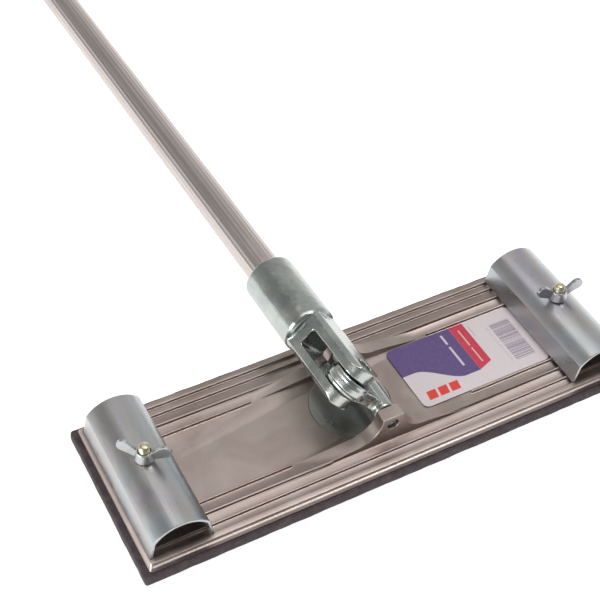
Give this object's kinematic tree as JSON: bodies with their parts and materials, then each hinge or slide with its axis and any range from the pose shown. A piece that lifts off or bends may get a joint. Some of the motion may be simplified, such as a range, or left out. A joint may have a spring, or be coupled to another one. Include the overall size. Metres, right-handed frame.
{
  "type": "pole drywall sander",
  "caption": "Pole drywall sander: foam-faced aluminium head with wing-nut abrasive clamps, two-axis swivel and long fluted pole.",
  "frame": {"origin": "centre of the sanding face, the foam pad's underside", "axes": "+X along the head, from the left clamp to the right clamp; +Y from the head towards the end of the pole as it lies back; +Z away from the sanded surface"},
  "size_m": [0.2414, 1.2785, 0.0419],
  "materials": {
    "foam": "matte",
    "cast_aluminium": "satin",
    "zinc_sheet": "satin",
    "zinc_casting": "satin",
    "pin_steel": "satin",
    "passivated_steel": "satin",
    "pole_aluminium": "satin",
    "black_plastic": "matte",
    "label_paper": "satin"
  },
  "bodies": {
    "head": {"foam_pad": "foam", "base_plate": "cast_aluminium", "label_sticker": "label_paper", "clamp_bolt_left": "passivated_steel", "clamp_bolt_right": "passivated_steel", "base_pin": "pin_steel"},
    "clamp_left": {"clamp_left": "zinc_sheet"},
    "clamp_right": {"clamp_right": "zinc_sheet"},
    "nut_left": {"wing_nut_left": "zinc_sheet"},
    "nut_right": {"wing_nut_right": "zinc_sheet"},
    "swivel": {"swivel_block": "zinc_casting"},
    "pole": {"pole_socket": "zinc_casting", "clevis_pin": "pin_steel", "pole_tube": "pole_aluminium", "socket_rivet": "pin_steel", "pole_end_cap": "black_plastic"}
  },
  "joints": [
    {"name": "clamp_left_lift", "type": "slide", "parent": "head", "child": "clamp_left", "axis": [0, 0, 1], "range_m": [0, 0.003]},
    {"name": "nut_left_turn", "type": "hinge", "parent": "clamp_left", "child": "nut_left", "pos_m": [-0.102, 0, 0.0245], "axis": [0, 0, 1], "range_deg": [0, 1351]},
    {"name": "clamp_right_lift", "type": "slide", "parent": "head", "child": "clamp_right", "axis": [0, 0, 1], "range_m": [0, 0.003]},
    {"name": "nut_right_turn", "type": "hinge", "parent": "clamp_right", "child": "nut_right", "pos_m": [0.102, 0, 0.0245], "axis": [0, 0, 1], "range_deg": [0, 1351]},
    {"name": "swivel_tilt", "type": "hinge", "parent": "head", "child": "swivel", "pos_m": [0, 0, 0.01745], "axis": [0, 1, 0], "range_deg": [0, 84]},
    {"name": "pole_pitch", "type": "hinge", "parent": "swivel", "child": "pole", "pos_m": [-0.01137, -0.0055, 0.03008], "axis": [0.7431, 0, 0.6691], "range_deg": [0, 180]}
  ],
  "couplings": [
    {"joint": "nut_left_turn", "follows": "clamp_left_lift", "rad_per_m": 7854},
    {"joint": "nut_right_turn", "follows": "clamp_right_lift", "rad_per_m": 7854}
  ]
}
